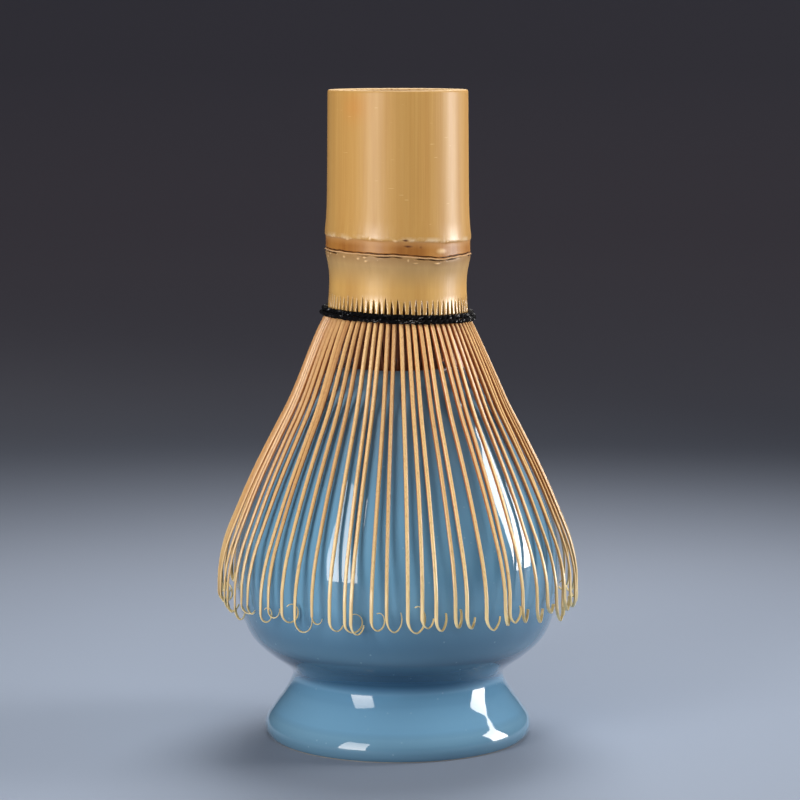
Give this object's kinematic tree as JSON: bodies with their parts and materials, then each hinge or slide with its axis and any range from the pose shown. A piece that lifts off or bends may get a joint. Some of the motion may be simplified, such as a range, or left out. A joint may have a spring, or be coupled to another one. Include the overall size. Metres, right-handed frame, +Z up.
{
  "type": "bamboo tea whisk on holder",
  "caption": "Bamboo matcha tea whisk with curled split tines bound by black thread, standing over a pear-shaped blue glazed ceramic holder with a flared foot.",
  "frame": {"origin": "centre of the holder's foot, on the surface it stands on", "axes": "+Z up along the common axis of holder and whisk; -Y is the side seen in front; +X to its right"},
  "size_m": [0.0712, 0.0712, 0.126],
  "materials": {
    "bamboo_skin": "smooth natural culm skin, satin to glossy",
    "bamboo_outer_tines": "split bamboo, satin skin outside and matte cut sides",
    "bamboo_inner_tines": "split and scraped bamboo, matte",
    "black_thread": "twisted cotton thread, matte",
    "blue_glaze": "glossy blue glaze"
  },
  "bodies": {
    "holder": {"ceramic_holder": "blue_glaze"},
    "whisk": {"handle": "bamboo_skin", "inner_tines_01": "bamboo_inner_tines", "inner_tines_02": "bamboo_inner_tines", "inner_tines_03": "bamboo_inner_tines", "inner_tines_04": "bamboo_inner_tines", "inner_tines_05": "bamboo_inner_tines", "inner_tines_06": "bamboo_inner_tines", "inner_tines_07": "bamboo_inner_tines", "inner_tines_08": "bamboo_inner_tines", "inner_tines_09": "bamboo_inner_tines", "inner_tines_10": "bamboo_inner_tines", "inner_tines_11": "bamboo_inner_tines", "inner_tines_12": "bamboo_inner_tines", "inner_tines_13": "bamboo_inner_tines", "inner_tines_14": "bamboo_inner_tines", "inner_tines_15": "bamboo_inner_tines", "inner_tines_16": "bamboo_inner_tines", "inner_tines_17": "bamboo_inner_tines", "inner_tines_18": "bamboo_inner_tines", "thread_upper_round": "black_thread", "thread_lower_round": "black_thread", "thread_inside_round": "black_thread", "thread_knot": "black_thread"},
    "tines_01": {"outer_tines_01": "bamboo_outer_tines"},
    "tines_02": {"outer_tines_02": "bamboo_outer_tines"},
    "tines_03": {"outer_tines_03": "bamboo_outer_tines"},
    "tines_04": {"outer_tines_04": "bamboo_outer_tines"},
    "tines_05": {"outer_tines_05": "bamboo_outer_tines"},
    "tines_06": {"outer_tines_06": "bamboo_outer_tines"},
    "tines_07": {"outer_tines_07": "bamboo_outer_tines"},
    "tines_08": {"outer_tines_08": "bamboo_outer_tines"},
    "tines_09": {"outer_tines_09": "bamboo_outer_tines"},
    "tines_10": {"outer_tines_10": "bamboo_outer_tines"},
    "tines_11": {"outer_tines_11": "bamboo_outer_tines"},
    "tines_12": {"outer_tines_12": "bamboo_outer_tines"},
    "tines_13": {"outer_tines_13": "bamboo_outer_tines"},
    "tines_14": {"outer_tines_14": "bamboo_outer_tines"},
    "tines_15": {"outer_tines_15": "bamboo_outer_tines"},
    "tines_16": {"outer_tines_16": "bamboo_outer_tines"},
    "tines_17": {"outer_tines_17": "bamboo_outer_tines"},
    "tines_18": {"outer_tines_18": "bamboo_outer_tines"}
  },
  "joints": [
    {"name": "whisk_lift", "type": "slide", "parent": "holder", "child": "whisk", "axis": [0, 0, 1], "range_m": [0, 0.06]},
    {"name": "tine_flex_01", "type": "hinge", "parent": "whisk", "child": "tines_01", "pos_m": [0.0132, 0.00233, 0.08254], "axis": [0.1736, -0.9848, 0], "range_deg": [0, 8], "stiffness_Nm_per_rad": 0.007},
    {"name": "tine_flex_02", "type": "hinge", "parent": "whisk", "child": "tines_02", "pos_m": [0.01161, 0.0067, 0.0826], "axis": [0.5, -0.866, 0], "range_deg": [0, 8], "stiffness_Nm_per_rad": 0.007},
    {"name": "tine_flex_03", "type": "hinge", "parent": "whisk", "child": "tines_03", "pos_m": [0.00861, 0.01026, 0.0827], "axis": [0.766, -0.6428, 0], "range_deg": [0, 8], "stiffness_Nm_per_rad": 0.007},
    {"name": "tine_flex_04", "type": "hinge", "parent": "whisk", "child": "tines_04", "pos_m": [0.00458, 0.01259, 0.08284], "axis": [0.9397, -0.342, 0], "range_deg": [0, 8], "stiffness_Nm_per_rad": 0.007},
    {"name": "tine_flex_05", "type": "hinge", "parent": "whisk", "child": "tines_05", "pos_m": [0, 0.0134, 0.083], "axis": [1, 0, 0], "range_deg": [0, 8], "stiffness_Nm_per_rad": 0.007},
    {"name": "tine_flex_06", "type": "hinge", "parent": "whisk", "child": "tines_06", "pos_m": [-0.00458, 0.01259, 0.08316], "axis": [0.9397, 0.342, 0], "range_deg": [0, 8], "stiffness_Nm_per_rad": 0.007},
    {"name": "tine_flex_07", "type": "hinge", "parent": "whisk", "child": "tines_07", "pos_m": [-0.00861, 0.01026, 0.0833], "axis": [0.766, 0.6428, 0], "range_deg": [0, 8], "stiffness_Nm_per_rad": 0.007},
    {"name": "tine_flex_08", "type": "hinge", "parent": "whisk", "child": "tines_08", "pos_m": [-0.01161, 0.0067, 0.08341], "axis": [0.5, 0.866, 0], "range_deg": [0, 8], "stiffness_Nm_per_rad": 0.007},
    {"name": "tine_flex_09", "type": "hinge", "parent": "whisk", "child": "tines_09", "pos_m": [-0.0132, 0.00233, 0.08346], "axis": [0.1736, 0.9848, 0], "range_deg": [0, 8], "stiffness_Nm_per_rad": 0.007},
    {"name": "tine_flex_10", "type": "hinge", "parent": "whisk", "child": "tines_10", "pos_m": [-0.0132, -0.00233, 0.08346], "axis": [-0.1736, 0.9848, 0], "range_deg": [0, 8], "stiffness_Nm_per_rad": 0.007},
    {"name": "tine_flex_11", "type": "hinge", "parent": "whisk", "child": "tines_11", "pos_m": [-0.01161, -0.0067, 0.08341], "axis": [-0.5, 0.866, 0], "range_deg": [0, 8], "stiffness_Nm_per_rad": 0.007},
    {"name": "tine_flex_12", "type": "hinge", "parent": "whisk", "child": "tines_12", "pos_m": [-0.00861, -0.01026, 0.0833], "axis": [-0.766, 0.6428, 0], "range_deg": [0, 8], "stiffness_Nm_per_rad": 0.007},
    {"name": "tine_flex_13", "type": "hinge", "parent": "whisk", "child": "tines_13", "pos_m": [-0.00458, -0.01259, 0.08316], "axis": [-0.9397, 0.342, 0], "range_deg": [0, 8], "stiffness_Nm_per_rad": 0.007},
    {"name": "tine_flex_14", "type": "hinge", "parent": "whisk", "child": "tines_14", "pos_m": [0, -0.0134, 0.083], "axis": [-1, 0, 0], "range_deg": [0, 8], "stiffness_Nm_per_rad": 0.007},
    {"name": "tine_flex_15", "type": "hinge", "parent": "whisk", "child": "tines_15", "pos_m": [0.00458, -0.01259, 0.08284], "axis": [-0.9397, -0.342, 0], "range_deg": [0, 8], "stiffness_Nm_per_rad": 0.007},
    {"name": "tine_flex_16", "type": "hinge", "parent": "whisk", "child": "tines_16", "pos_m": [0.00861, -0.01026, 0.0827], "axis": [-0.766, -0.6428, 0], "range_deg": [0, 8], "stiffness_Nm_per_rad": 0.007},
    {"name": "tine_flex_17", "type": "hinge", "parent": "whisk", "child": "tines_17", "pos_m": [0.01161, -0.0067, 0.0826], "axis": [-0.5, -0.866, 0], "range_deg": [0, 8], "stiffness_Nm_per_rad": 0.007},
    {"name": "tine_flex_18", "type": "hinge", "parent": "whisk", "child": "tines_18", "pos_m": [0.0132, -0.00233, 0.08254], "axis": [-0.1736, -0.9848, 0], "range_deg": [0, 8], "stiffness_Nm_per_rad": 0.007}
  ]
}
